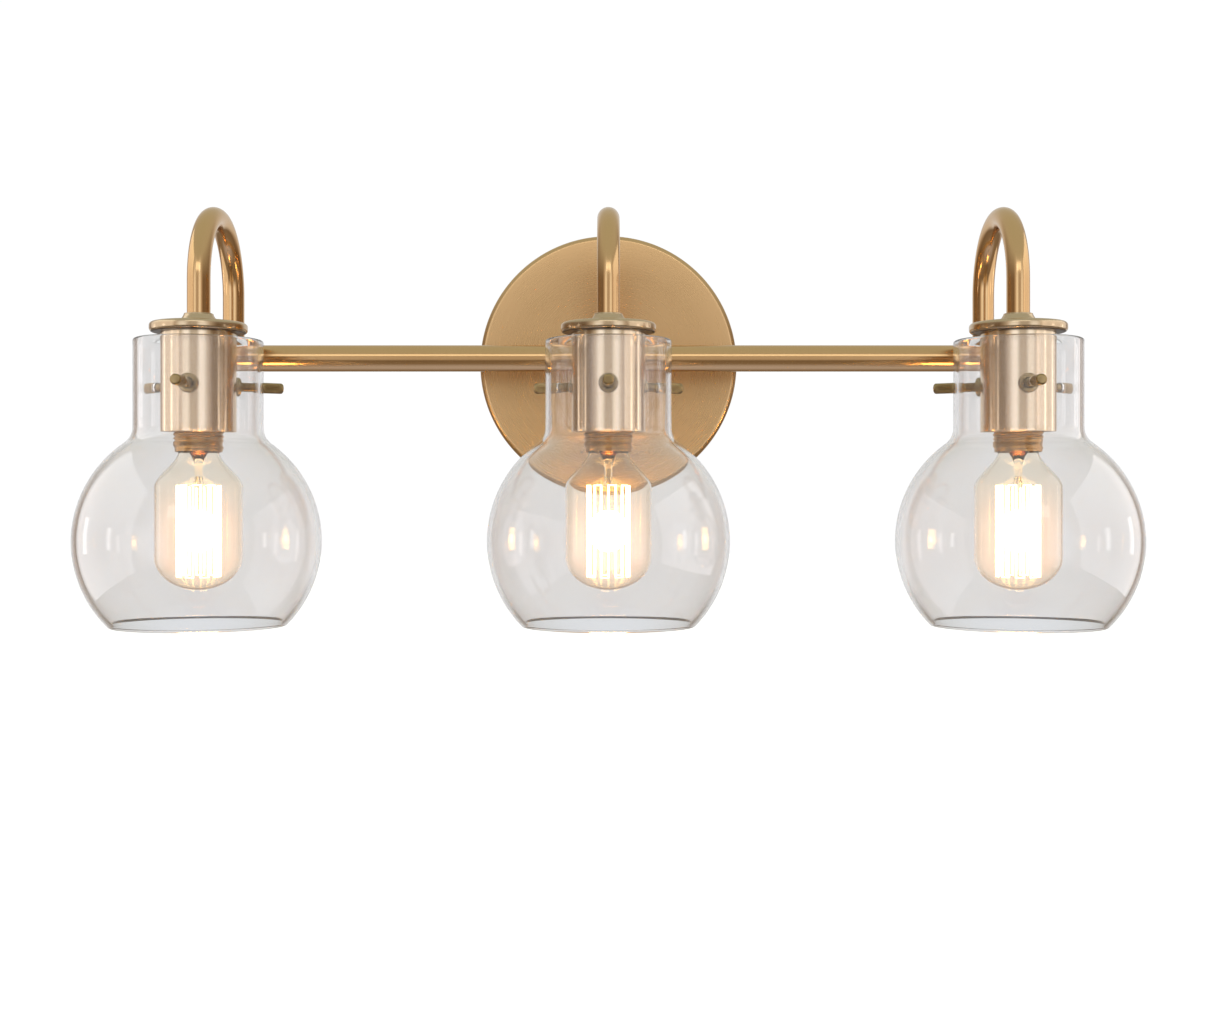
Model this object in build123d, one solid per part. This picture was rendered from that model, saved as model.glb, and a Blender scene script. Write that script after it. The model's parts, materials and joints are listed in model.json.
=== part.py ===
from build123d import *
import os
from math import cos, radians, sin, sqrt

# Three-light vanity bar. Millimetres. The origin is the centre of the canopy's back plane on the
# wall, +X runs along the bar, +Z is up and the light stands out from the wall towards -Y.

# Layout
lamp_spacing = 213.0
bar_reach = 56.0
arm_span = 76.0
arm_rise = 34.3
front_leg = 17.8
lamp_names = ("left", "centre", "right")

# Canopy, wall bracket and its screws
canopy_radius = 76.0
canopy_depth = 20.0
canopy_wall = 1.2
canopy_edge = 3.0
bracket_width = 22.0
bracket_thickness = 1.6
bracket_gap = 0.8
ear_width = 16.0
ear_depth = 14.0
side_screw_radius = 2.0
side_screw_length = 7.0
side_screw_set_back = 9.0
side_screw_sink = 0.5
box_pitches = (69.85, 88.9)
box_hole_radius = 2.3
ground_screw_radius = 1.9
ground_head_radius = 3.6
ground_head_height = 3.4
ground_screw_place = (22.0, 6.0)

# Tubes
bar_radius = 7.5
bar_wall = 1.2
bar_overhang = 12.0
end_cap_thickness = 1.6
end_cap_plug = 5.0
arm_radius = 6.0
arm_wall = 1.0
stem_step = 0.5
flange_radius = 11.0
flange_thickness = 2.4
wire_hole_radius = 4.0

# Threaded nipples, lock nuts and wiring
thread_clearance = 0.1
nipple_wall = 1.25
nipple_grip = 9.0
nipple_stub = 1.0
nut_height = 3.0
nut_margin = 3.2
cable_radius = 1.3
cable_lane = 1.95
cable_bend = 3.6
cable_depth = 8.0
cable_run = 26.0
cable_entry = 6.0
cable_clearance = 1.0
cable_pocket = 2.0
connector_radius = 5.0
connector_length = 17.0
connector_round = 3.5
connector_gap = 0.5

# Collar and cap over the socket cup
collar_height = 4.9
collar_top_radius = 7.2
collar_bottom_radius = 9.9
collar_seat = 3.0
cap_radius = 25.0
cap_thickness = 5.2
cap_edge = 1.9

# Medium screw base of the bulb, its socket and the cup round it
base_radius = 12.9
base_ridge = 0.8
base_pitch = 3.6
base_ridges = 6
ridge_half = 1.44
base_wall = 0.6
base_length = 25.0
base_show = 9.3
shell_gap = 0.4
shell_wall = 0.45
socket_wall = 2.7
socket_gap = 1.6
socket_inset = 2.0
socket_seat_gap = 0.2
cup_wall = 1.2
cup_length = 52.5
cup_edge = 0.5
contact_radius = 4.0
contact_height = 2.0
contact_gap = 0.3
contact_clearance = 1.0

# Thumbscrews and their bosses
screw_drop = 27.4
screw_angles = (-90.0, 30.0, 150.0)
screw_radius = 2.4
screw_clearance = 0.05
screw_tip_gap = 0.6
head_radius = 2.8
head_length = 11.4
head_edge = 1.1
head_gap = 0.6
boss_radius = 5.0
boss_height = 2.4

# Glass shade
shade_gap = 3.6
neck_radius = 33.0
neck_length = 50.6
globe_radius = 63.0
mouth_radius = 45.0
shoulder_fillet = 10.0
shade_wall = 2.5
shade_hole_gap = 0.35

# Bulb
bulb_radius = 22.4
bulb_drop = 71.8
bulb_wall = 0.9
bulb_neck_inset = 1.2
bulb_neck_depth = 6.0
bulb_shoulder = 19.0
bulb_dome = 17.0
insulator_height = 2.2
insulator_step = 1.0
button_radius = 4.2
button_height = 0.8
glass_stem_radius = 2.0
glass_stem_length = 24.0
flare_gap = 0.6
flare_depth = 4.0
flare_lip = 1.0
flare_length = 12.0
filament_radius = 0.55
filament_spread = 11.0
filament_top_drop = 17.5
filament_length = 47.3
filament_legs = 18

# Places and sizes that follow from the values above
bar_y = -bar_reach
lamp_y = bar_y - arm_span
lamp_xs = (-lamp_spacing, 0.0, lamp_spacing)
canopy_inside = canopy_radius - canopy_wall
arm_bore = arm_radius - arm_wall
bar_bore = bar_radius - bar_wall
stem_radius = bar_radius - stem_step
nipple_radius = arm_bore - thread_clearance
nipple_bore = nipple_radius - nipple_wall
nut_radius = nipple_radius + nut_margin
bar_half = lamp_spacing + bar_overhang
collar_top = arm_rise - front_leg
collar_bottom = collar_top - collar_height
arm_end = collar_top - collar_seat
cap_bottom = collar_bottom - cap_thickness
cup_top = cap_bottom
cup_bottom = cup_top - cup_length
shell_bore = base_radius + shell_gap
shell_radius = shell_bore + shell_wall
socket_radius = shell_radius + socket_wall
cup_bore = socket_radius + socket_gap
cup_radius = cup_bore + cup_wall
nut_bottom = cup_top - cup_wall - nut_height
skirt_z = cup_bottom - base_show
base_top = skirt_z + base_length
button_top = base_top + insulator_height + button_height
contact_bottom = button_top + contact_gap
screw_z = cap_bottom - screw_drop
boss_end = cup_radius + boss_height
screw_tip = cup_bore + screw_tip_gap
head_start = neck_radius + head_gap
screw_end = head_start + head_length
shade_top = cap_bottom - shade_gap
crease_z = shade_top - neck_length
globe_z = crease_z - sqrt(globe_radius**2 - neck_radius**2)
bulb_bottom = skirt_z - bulb_drop
nodes = {}


def rod_z(radius, low, high):
    """A round bar standing on the Z axis between two heights."""
    return Pos(0, 0, low) * Cylinder(radius, high - low, align=(Align.CENTER, Align.CENTER, Align.MIN))


def rod_out(radius, back, front):
    """A round bar on the Y axis, from one distance off the wall to another."""
    return extrude(Plane.XZ.offset(back) * Circle(radius), front - back)


def rod_x(radius, low, high):
    """A round bar on the X axis between two places."""
    return extrude(Plane.YZ.offset(low) * Circle(radius), high - low)


def spun(*edges):
    """A solid of revolution about Z from a closed outline drawn as radius and height."""
    return revolve(Plane.XZ * make_face(Curve() + list(edges)), Axis.Z)


def spun_points(*points):
    """The same from corner points alone."""
    return spun(Polyline(*points, close=True))


def radial(shape, angle):
    """Turns a shape that lies along +X to point along a horizontal angle at the screws' height."""
    return Pos(0, 0, screw_z) * Rot(0, 0, angle) * shape


def hexagon_z(radius, low, high):
    """A hexagon nut blank on the Z axis."""
    return Pos(0, 0, low) * extrude(RegularPolygon(radius, 6), high - low)


# Canopy: a spun pan, open at the back, with a rolled front edge
pan = fillet(rod_out(canopy_radius, 0, canopy_depth).edges().group_by(Axis.Y)[0], canopy_edge)
hollow = rod_out(canopy_inside, 0, canopy_depth - canopy_wall)
hollow = fillet(hollow.edges().group_by(Axis.Y)[0], canopy_edge - canopy_wall)
side_screw_y = -side_screw_set_back
side_hole = rod_x(side_screw_radius + thread_clearance, -canopy_radius, canopy_radius)
side_hole = Pos(0, side_screw_y, 0) * side_hole
nipple_hole = rod_out(nipple_radius + thread_clearance, 0, canopy_depth + 1)
nodes["canopy"] = pan - hollow - side_hole - nipple_hole

# Wall bracket: a flat strap with an ear bent forward at each end
strap_half = sqrt(canopy_inside**2 - (ear_width / 2) ** 2) - bracket_gap
strap = Box(2 * strap_half, bracket_thickness, bracket_width, align=(Align.CENTER, Align.MAX, Align.CENTER))
strap = strap & rod_out(canopy_inside - bracket_gap, 0, bracket_thickness)
ear = Box(bracket_thickness, ear_depth, ear_width, align=(Align.MAX, Align.MAX, Align.CENTER))
bracket = strap + Pos(strap_half, 0, 0) * ear
bracket += Pos(bracket_thickness - strap_half, 0, 0) * ear
for pitch in box_pitches:
    for side in (-1, 1):
        bracket -= Pos(side * pitch / 2, 0, 0) * rod_out(box_hole_radius, -1, bracket_thickness + 1)
ground_x, ground_z = ground_screw_place
ground_hole = rod_out(ground_screw_radius + thread_clearance, -1, bracket_thickness + 1)
bracket -= Pos(ground_x, 0, ground_z) * ground_hole
nodes["mounting_bracket"] = bracket - side_hole

ground_shank = rod_out(ground_screw_radius, 0, bracket_thickness)
ground_head = extrude(
    Plane.XZ.offset(bracket_thickness) * RegularPolygon(ground_head_radius, 6), ground_head_height
)
nodes["ground_screw"] = Pos(ground_x, 0, ground_z) * (ground_shank + ground_head)

screw_outer = canopy_radius - side_screw_sink
side_screw = rod_x(side_screw_radius, screw_outer - side_screw_length, screw_outer)
side_screw = Pos(0, side_screw_y, 0) * side_screw
nodes["canopy_side_screws"] = [side_screw, mirror(side_screw, Plane.YZ)]

# Stem: a short tube with a flange against the canopy, coped to fit round the bar
bar_skin = Pos(0, bar_y, 0) * rod_x(bar_radius, -bar_half, bar_half)
stem = rod_out(stem_radius, canopy_depth, bar_reach)
flange = rod_out(flange_radius, canopy_depth, canopy_depth + flange_thickness)
stem += fillet(flange.edges().group_by(Axis.Y)[0], flange_thickness / 2)
stem -= Pos(0, bar_y, 0) * rod_z(arm_radius, 0, arm_rise)
nodes["stem"] = stem - bar_skin - rod_out(nipple_radius + thread_clearance, 0, bar_reach)

# Bar: a tube closed by two end caps, with wire holes behind the canopy stem and under each arm
bar = bar_skin - Pos(0, bar_y, 0) * rod_x(bar_bore, -bar_half, bar_half)
wire_way = rod_out(wire_hole_radius, canopy_depth, bar_reach)
bar -= wire_way
for x in lamp_xs:
    bar -= Pos(x, bar_y, 0) * rod_z(wire_hole_radius, 0, bar_radius + 1)
nodes["bar"] = bar

end_cap = rod_x(bar_radius, bar_half, bar_half + end_cap_thickness)
end_cap = fillet(end_cap.edges().group_by(Axis.X)[-1], end_cap_thickness / 2)
end_cap += rod_x(bar_bore - thread_clearance, bar_half - end_cap_plug, bar_half)
end_cap = Pos(0, bar_y, 0) * end_cap
nodes["bar_end_caps"] = [end_cap, mirror(end_cap, Plane.YZ)]

# The nipple and lock nut that pull the stem against the canopy
nut_front = canopy_depth - canopy_wall
nut_back = nut_front - nut_height
nipple_front = canopy_depth + nipple_grip
stem_nipple = rod_out(nipple_radius, nut_back - nipple_stub, nipple_front) - rod_out(nipple_bore, 0, bar_reach)
stem_nut = extrude(Plane.XZ.offset(nut_back) * RegularPolygon(nut_radius, 6), nut_height)
stem_nut -= rod_out(nipple_radius + thread_clearance, 0, canopy_depth)
nipples = [stem_nipple]
lock_nuts = [stem_nut]
contacts = []

# Twist-on wire connectors and the cables that run through the stem, the bar and the arms
lanes = {"left": (-cable_lane * cos(radians(30)), -cable_lane / 2), "centre": (0.0, cable_lane)}
lanes["right"] = (-lanes["left"][0], lanes["left"][1])
cable_end = nut_bottom - socket_inset - cable_entry
connector = rod_z(connector_radius, 0, connector_length)
connector = fillet(connector.edges().group_by(Axis.Z)[-1], connector_round)
connectors = []
for name, x in zip(lamp_names, lamp_xs):
    lane_x, lane_z = lanes[name]
    if name == "centre":
        tail = (lane_x, -cable_depth, lane_z + cable_run)
        bends = [cable_bend, cable_bend]
        route = [tail, (lane_x, -cable_depth, lane_z), (lane_x, bar_y, lane_z), (x, bar_y, arm_rise)]
        connectors.append(Pos(*tail) * Pos(0, 0, connector_gap) * connector)
    else:
        side = -1 if name == "left" else 1
        tail = (lane_x + side * cable_run, -cable_depth, lane_z)
        bends = [cable_bend, cable_bend, cable_bend]
        route = [tail, (lane_x, -cable_depth, lane_z), (lane_x, bar_y, lane_z)]
        route += [(x, bar_y, lane_z), (x, bar_y, arm_rise)]
        connectors.append(Pos(*tail) * Rot(0, side * 90, 0) * Pos(0, 0, connector_gap) * connector)
    crown = (x, bar_y - arm_span / 2, arm_rise + arm_span / 2)
    bend = ThreePointArc((x, bar_y, arm_rise), crown, (x, lamp_y, arm_rise))
    path = FilletPolyline(*route, radius=bends) + bend + Line((x, lamp_y, arm_rise), (x, lamp_y, cable_end))
    start = Plane(origin=tail, z_dir=Vector(*route[1]) - Vector(*tail))
    nodes["lamp_cable_" + name] = sweep(start * Circle(cable_radius), path=path)
nodes["wire_connectors"] = connectors

# Glass shade: a straight neck that flows through a soft shoulder into an open globe
fillet_x = neck_radius + shoulder_fillet
fillet_z = globe_z + sqrt((globe_radius + shoulder_fillet) ** 2 - fillet_x**2)
to_globe = Vector(-fillet_x, globe_z - fillet_z).normalized()
mouth_sine = mouth_radius / globe_radius
mouth_cosine = sqrt(1 - mouth_sine**2)


def shade_side(inset):
    """One face of the shade, as radius and height, from below the neck's lip to the rim."""
    neck_x = neck_radius - inset
    ball = globe_radius - inset
    bend_radius = shoulder_fillet + inset
    centre = Vector(fillet_x, fillet_z)
    bend_end = centre + to_globe * bend_radius
    bend_middle = centre + (to_globe + Vector(-1, 0)).normalized() * bend_radius
    rim = (ball * mouth_sine, globe_z - ball * mouth_cosine)
    neck = Line((neck_x, shade_top - shade_wall / 2), (neck_x, fillet_z))
    shoulder = ThreePointArc((neck_x, fillet_z), bend_middle, bend_end)
    return [neck, shoulder, ThreePointArc(bend_end, (ball, globe_z), rim)]


outer_side = shade_side(0)
inner_side = shade_side(shade_wall)
middle = globe_radius - shade_wall / 2
rim_tip = (middle * mouth_sine - shade_wall / 2 * mouth_cosine, globe_z - middle * mouth_cosine)
rim_tip = (rim_tip[0], rim_tip[1] - shade_wall / 2 * mouth_sine)
lip = ThreePointArc(outer_side[0] @ 0, (neck_radius - shade_wall / 2, shade_top), inner_side[0] @ 0)
rim = ThreePointArc(outer_side[2] @ 1, rim_tip, inner_side[2] @ 1)
shade = spun(*outer_side, rim, *inner_side, lip)
shade_hole = rod_x(screw_radius + shade_hole_gap, neck_radius - 2 * shade_wall, neck_radius + shade_wall)
for angle in screw_angles:
    shade -= radial(shade_hole, angle)

# Thumbscrew, lying along +X from its tip in the boss to its rounded head
thumb_head = fillet(rod_x(head_radius, head_start, screw_end).edges(), head_edge)
thumb_screw = rod_x(screw_radius, screw_tip, head_start + head_length / 2) + thumb_head

# Socket cup: a drawn cup with three round bosses for the thumbscrews
cup = fillet(rod_z(cup_radius, cup_bottom, cup_top).edges().group_by(Axis.Z)[0], cup_edge)
for angle in screw_angles:
    cup += radial(rod_x(boss_radius, cup_bore, boss_end), angle)
cup -= rod_z(cup_bore, cup_bottom, cup_top - cup_wall)
cup -= rod_z(nipple_radius + thread_clearance, cup_bottom, cup_top)
for angle in screw_angles:
    cup -= radial(rod_x(screw_radius + screw_clearance, 0, 2 * boss_end), angle)

# Collar and cap that the arm's end is seated in
collar = spun_points(
    (0, collar_bottom), (collar_bottom_radius, collar_bottom), (collar_top_radius, collar_top), (0, collar_top)
)
collar -= rod_z(arm_radius, arm_end, collar_top)
collar -= rod_z(nipple_radius + thread_clearance, collar_bottom, collar_top)
cap = fillet(rod_z(cap_radius, cap_bottom, collar_bottom).edges(), cap_edge)
cap -= rod_z(nipple_radius + thread_clearance, cap_bottom, collar_bottom)

# Nipple and lock nut that hold arm, collar, cap, cup and socket together
socket_top = nut_bottom - socket_seat_gap
nipple_low = socket_top - nut_height
lamp_nipple = rod_z(nipple_radius, nipple_low, arm_end + nipple_grip)
lamp_nipple -= rod_z(nipple_bore, nipple_low, arm_end + nipple_grip)
lamp_nut = hexagon_z(nut_radius, nut_bottom, nut_bottom + nut_height)
lamp_nut -= rod_z(nipple_radius + thread_clearance, nut_bottom, nut_bottom + nut_height)

# Socket body with its screw shell and spring contact
socket_bottom = cup_bottom + socket_inset
shell_top = contact_bottom + contact_height
socket = rod_z(socket_radius, socket_bottom, socket_top - nut_height - socket_inset)
socket += rod_z(nut_radius, socket_bottom, socket_top)
socket -= rod_z(shell_radius, socket_bottom, shell_top)
socket -= rod_z(nipple_radius + thread_clearance, nipple_low, socket_top)
socket -= rod_z(cable_radius + cable_clearance, cable_end - cable_pocket, socket_top)
shell = rod_z(shell_radius, socket_bottom, shell_top)
shell -= rod_z(shell_bore, socket_bottom, shell_top - shell_wall)
shell -= rod_z(contact_radius + contact_clearance, socket_bottom, shell_top)
contact = rod_z(contact_radius, contact_bottom, shell_top)

# Bulb base: a shell with rounded ridges, a glass insulator and a soldered button
ridge_base = base_radius - base_ridge
thread_low = skirt_z + (base_length - base_pitch * base_ridges) / 2
base = rod_z(ridge_base, skirt_z, base_top)
for ridge in range(base_ridges):
    ridge_z = thread_low + (ridge + 0.5) * base_pitch
    ridge_low = (ridge_base, ridge_z - ridge_half)
    swell = ThreePointArc(ridge_low, (base_radius, ridge_z), (ridge_base, ridge_z + ridge_half))
    root_x = ridge_base - base_wall
    root = Polyline(swell @ 1, (root_x, ridge_z + ridge_half), (root_x, ridge_z - ridge_half))
    base += spun(swell, root, Line(root @ 1, swell @ 0))
base -= rod_z(ridge_base - base_wall, skirt_z, base_top - base_wall)
insulator = spun_points(
    (0, base_top), (ridge_base - 2 * base_wall, base_top),
    (button_radius + insulator_step, base_top + insulator_height),
    (0, base_top + insulator_height)
)
button = rod_z(button_radius, base_top + insulator_height, button_top)


def bulb_side(inset):
    """One face of the bulb's glass, from inside the base to the middle of its dome."""
    neck_x = ridge_base - base_wall - bulb_neck_inset - inset
    wide_x = bulb_radius - inset
    neck = Line((neck_x, skirt_z + bulb_neck_depth), (neck_x, skirt_z))
    shoulder = Spline((neck_x, skirt_z), (wide_x, skirt_z - bulb_shoulder), tangents=((0, -1), (0, -1)))
    barrel = Line((wide_x, skirt_z - bulb_shoulder), (wide_x, bulb_bottom + bulb_dome))
    dome = EllipticalCenterArc((0, bulb_bottom + bulb_dome), wide_x, bulb_dome - inset, 270, arc_size=90)
    return [neck, shoulder, barrel, dome]


bulb_outside = bulb_side(0)
bulb_inside = bulb_side(bulb_wall)
bulb_lip = Line(bulb_outside[0] @ 0, bulb_inside[0] @ 0)
bulb_foot = Line((0, bulb_bottom), (0, bulb_bottom + bulb_wall))
bulb_glass = spun(*bulb_outside, bulb_foot, *bulb_inside, bulb_lip)

# Glass stem with its flare, and the wire cage of the filament
flare_radius = ridge_base - base_wall - bulb_neck_inset - bulb_wall - flare_gap
flare_top = skirt_z + flare_depth
glass_stem = spun_points(
    (0, flare_top), (flare_radius, flare_top), (flare_radius, flare_top - flare_lip),
    (glass_stem_radius, flare_top - flare_length), (glass_stem_radius, flare_top - glass_stem_length),
    (0, flare_top - glass_stem_length)
)
filament_top = skirt_z - filament_top_drop
filament_bottom = filament_top - filament_length
corners = []
for leg in range(filament_legs):
    angle = radians(360 / filament_legs * leg)
    place = (filament_spread * cos(angle), filament_spread * sin(angle))
    ends = [(*place, filament_top), (*place, filament_bottom)]
    corners += ends if leg % 2 == 0 else ends[::-1]
filament = Part()
for first, last in zip(corners, corners[1:]):
    span = Vector(*last) - Vector(*first)
    run = extrude(Plane(origin=first, z_dir=span) * Circle(filament_radius), span.length)
    filament += run + Pos(*last) * Sphere(filament_radius)

# One of everything at each lamp
for name, x in zip(lamp_names, lamp_xs):
    lamp = Pos(x, lamp_y, 0)
    crown = (x, bar_y - arm_span / 2, arm_rise + arm_span / 2)
    rear = Line((x, bar_y, 0), (x, bar_y, arm_rise))
    bend = ThreePointArc((x, bar_y, arm_rise), crown, (x, lamp_y, arm_rise))
    front = Line((x, lamp_y, arm_rise), (x, lamp_y, arm_end))
    ring = Plane(origin=(x, bar_y, 0)) * (Circle(arm_radius) - Circle(arm_bore))
    tube = sweep(ring, path=rear + bend + front)
    nodes["arm_" + name] = tube - bar_skin - wire_way
    nodes["arm_collar_" + name] = lamp * collar
    nodes["cap_disc_" + name] = lamp * cap
    nodes["socket_cup_" + name] = lamp * cup
    nodes["socket_body_" + name] = lamp * socket
    nodes["screw_shell_" + name] = lamp * shell
    nodes["glass_shade_" + name] = lamp * shade
    nodes["bulb_glass_" + name] = lamp * bulb_glass
    nodes["bulb_base_" + name] = [lamp * base, lamp * button]
    nodes["bulb_insulator_" + name] = lamp * insulator
    nodes["bulb_stem_" + name] = lamp * glass_stem
    nodes["bulb_filament_" + name] = lamp * filament
    for angle, place in zip(screw_angles, ("front", "right", "left")):
        nodes["thumb_screw_" + name + "_" + place] = lamp * radial(thumb_screw, angle)
    nipples.append(lamp * lamp_nipple)
    lock_nuts.append(lamp * lamp_nut)
    contacts.append(lamp * contact)
nodes["threaded_nipples"] = nipples
nodes["lock_nuts"] = lock_nuts
nodes["socket_contacts"] = contacts

os.makedirs("parts", exist_ok=True)
for name, shape in nodes.items():
    pieces = shape if isinstance(shape, list) else [shape]
    solids = [solid for piece in pieces for solid in piece.solids()]
    export_step(solids[0] if len(solids) == 1 else Compound(children=solids), "parts/" + name + ".step")
print(len(nodes), "nodes")
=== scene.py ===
import json
from math import asin, atan2, cos, pi, sin, sqrt

import bmesh
import bpy
from mathutils import Matrix, Vector

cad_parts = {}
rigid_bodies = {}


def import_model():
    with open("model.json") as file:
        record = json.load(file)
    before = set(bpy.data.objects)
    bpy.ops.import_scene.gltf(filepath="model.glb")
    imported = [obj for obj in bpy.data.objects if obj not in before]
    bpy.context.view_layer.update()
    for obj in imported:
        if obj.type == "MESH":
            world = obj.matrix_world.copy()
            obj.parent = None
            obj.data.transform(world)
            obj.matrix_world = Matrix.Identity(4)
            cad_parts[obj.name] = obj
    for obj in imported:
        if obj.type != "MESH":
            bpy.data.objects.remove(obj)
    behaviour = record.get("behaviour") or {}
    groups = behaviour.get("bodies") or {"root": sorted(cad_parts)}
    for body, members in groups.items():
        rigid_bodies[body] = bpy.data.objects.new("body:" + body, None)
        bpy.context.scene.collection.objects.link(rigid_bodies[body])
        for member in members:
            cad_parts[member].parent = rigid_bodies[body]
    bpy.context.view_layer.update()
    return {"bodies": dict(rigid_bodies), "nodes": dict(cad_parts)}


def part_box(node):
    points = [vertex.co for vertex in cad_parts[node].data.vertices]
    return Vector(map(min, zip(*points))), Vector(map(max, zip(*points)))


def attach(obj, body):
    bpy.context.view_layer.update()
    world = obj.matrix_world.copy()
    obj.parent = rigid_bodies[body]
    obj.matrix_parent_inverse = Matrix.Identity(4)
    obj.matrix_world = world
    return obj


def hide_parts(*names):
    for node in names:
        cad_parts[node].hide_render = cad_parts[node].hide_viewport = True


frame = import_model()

# ---------------------------------------------------------------------------------------------------
# The studio: a room with a pale floor and two bright stretches in front. A brown stretch at each side
# draws the brown edges on polished metal. The light hangs on nothing, so it is seen from every side.

MM = 0.001


def to_linear(code):
    """An sRGB colour written as hex, as linear red, green, blue and alpha."""
    channels = [int(code[i : i + 2], 16) / 255 for i in (1, 3, 5)]
    return [c / 12.92 if c <= 0.04045 else ((c + 0.055) / 1.055) ** 2.4 for c in channels] + [1.0]


def add(tree, kind, settings=None, links=None, **values):
    """Adds one shader node, with its settings, its values and the sockets it is fed from."""
    node = tree.nodes.new(kind)
    for name, value in (settings or {}).items():
        setattr(node, name, value)
    for name, value in values.items():
        node.inputs[name.replace("_", " ")].default_value = value
    for name, source in (links or {}).items():
        tree.links.new(source, node.inputs[name])
    return node


def set_ramp(ramp, stops):
    """Gives a colour ramp its stops, as places and grey levels or colours."""
    while len(ramp.elements) > 1:
        ramp.elements.remove(ramp.elements[-1])
    for index, (place, value) in enumerate(stops):
        stop = ramp.elements[0] if index == 0 else ramp.elements.new(place)
        stop.position = place
        stop.color = value if isinstance(value, list) else (value, value, value, 1)


world = bpy.data.worlds.new("studio_room")
bpy.context.scene.world = world
world.use_nodes = True
room = world.node_tree
room.nodes.clear()
direction = add(room, "ShaderNodeTexCoord").outputs["Generated"]
axes = add(room, "ShaderNodeSeparateXYZ", links={0: direction})
towards_front = add(room, "ShaderNodeMath", {"operation": "MULTIPLY"}, {0: axes.outputs["Y"]})
towards_front.inputs[1].default_value = -1
sideways = axes.outputs["X"]
bearing = add(room, "ShaderNodeMath", {"operation": "ARCTAN2"}, {0: sideways, 1: towards_front.outputs[0]})
aside = add(room, "ShaderNodeMath", {"operation": "ABSOLUTE"}, {0: bearing.outputs[0]})
turned = add(room, "ShaderNodeMath", {"operation": "DIVIDE"}, {0: aside.outputs[0]})
turned.inputs[1].default_value = pi
# Round the room from straight in front, 0, to straight behind, 1.
walls = add(room, "ShaderNodeValToRGB", links={0: turned.outputs[0]})
set_ramp(
    walls.color_ramp,
    [
        (0.0, [0.27, 0.25, 0.23, 1]),
        (0.055, [0.25, 0.23, 0.21, 1]),
        (0.095, [0.56, 0.58, 0.62, 1]),
        (0.16, [0.56, 0.58, 0.62, 1]),
        (0.22, [0.30, 0.26, 0.22, 1]),
        (0.31, [0.085, 0.055, 0.032, 1]),
        (0.70, [0.085, 0.055, 0.032, 1]),
        (0.78, [0.22, 0.19, 0.17, 1]),
        (0.84, 0.34),
        (1.0, 0.34),
    ],
)
# Up the room from the floor, 0, to the ceiling, 1: how much the floor and ceiling hide the walls, and
# their colours.
height = add(room, "ShaderNodeMapRange", links={0: axes.outputs["Z"]})
height.inputs["From Min"].default_value = -1
overhead_share = add(room, "ShaderNodeValToRGB", links={0: height.outputs[0]})
set_ramp(
    overhead_share.color_ramp,
    [(0.0, 1.0), (0.30, 1.0), (0.41, 0.0), (0.53, 0.0), (0.66, 0.45), (0.82, 1.0)],
)
above = add(room, "ShaderNodeValToRGB", links={0: height.outputs[0]})
set_ramp(
    above.color_ramp,
    [
        (0.0, [0.26, 0.27, 0.34, 1]),
        (0.10, [0.13, 0.11, 0.09, 1]),
        (0.30, [0.10, 0.08, 0.06, 1]),
        (0.62, [0.26, 0.26, 0.24, 1]),
        (1.0, [0.25, 0.27, 0.24, 1]),
    ],
)
overhead = add(
    room,
    "ShaderNodeMix",
    {"data_type": "RGBA"},
    {0: overhead_share.outputs[0], 6: walls.outputs[0], 7: above.outputs[0]},
)
lit_room = add(room, "ShaderNodeBackground", links={0: overhead.outputs[2]}, Strength=2.4)
white_room = add(room, "ShaderNodeBackground", Color=(1, 1, 1, 1), Strength=1.02)
# Straight through glass, the room looks like an even pale backdrop, and the camera sees it white.
backdrop = add(room, "ShaderNodeBackground", Color=(0.94, 0.975, 0.99, 1), Strength=0.80)
path = add(room, "ShaderNodeLightPath")
through = add(room, "ShaderNodeMath", {"operation": "LESS_THAN"}, {0: path.outputs["Glossy Depth"]})
through.inputs[1].default_value = 0.5
refracted = path.outputs["Is Transmission Ray"]
past_glass = add(room, "ShaderNodeMath", {"operation": "MULTIPLY"}, {0: through.outputs[0], 1: refracted})
fill = {0: past_glass.outputs[0], 1: lit_room.outputs[0], 2: backdrop.outputs[0]}
behind = add(room, "ShaderNodeMixShader", links=fill)
seen = path.outputs["Is Camera Ray"]
either = add(room, "ShaderNodeMixShader", links={0: seen, 1: behind.outputs[0], 2: white_room.outputs[0]})
add(room, "ShaderNodeOutputWorld", links={0: either.outputs[0]})

scene = bpy.context.scene
scene.view_settings.view_transform = "Standard"

floor_drop = 0.42
floor_mesh = bpy.data.meshes.new("floor")
floor_shape = bmesh.new()
bmesh.ops.create_circle(floor_shape, cap_ends=True, segments=128, radius=9.0)
floor_shape.to_mesh(floor_mesh)
floor_shape.free()
floor = bpy.data.objects.new("floor", floor_mesh)
floor.location.z = -floor_drop
scene.collection.objects.link(floor)
pale = bpy.data.materials.new("pale_floor_paint")
pale.use_nodes = True
pale_shader = pale.node_tree.nodes["Principled BSDF"]
grain = add(pale.node_tree, "ShaderNodeTexNoise", Scale=40.0, Detail=3.0)
pale_colour = add(pale.node_tree, "ShaderNodeMix", {"data_type": "RGBA"}, {0: grain.outputs[0]})
pale_colour.inputs[6].default_value = to_linear("#F7F6F5")
pale_colour.inputs[7].default_value = to_linear("#FAFAF9")
pale.node_tree.links.new(pale_colour.outputs[2], pale_shader.inputs["Base Color"])
pale_shader.inputs["Roughness"].default_value = 0.9
pale_shader.inputs["Emission Color"].default_value = (1, 1, 1, 1)
pale_shader.inputs["Emission Strength"].default_value = 0.60
floor_mesh.materials.append(pale)
floor.visible_glossy = False
floor.visible_transmission = False

# A softbox over the camera and narrow strip lights at the sides, which leave the small upright
# glints on the globes.
lamp_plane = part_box("cap_disc_centre")[0].y + 0.025


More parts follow.
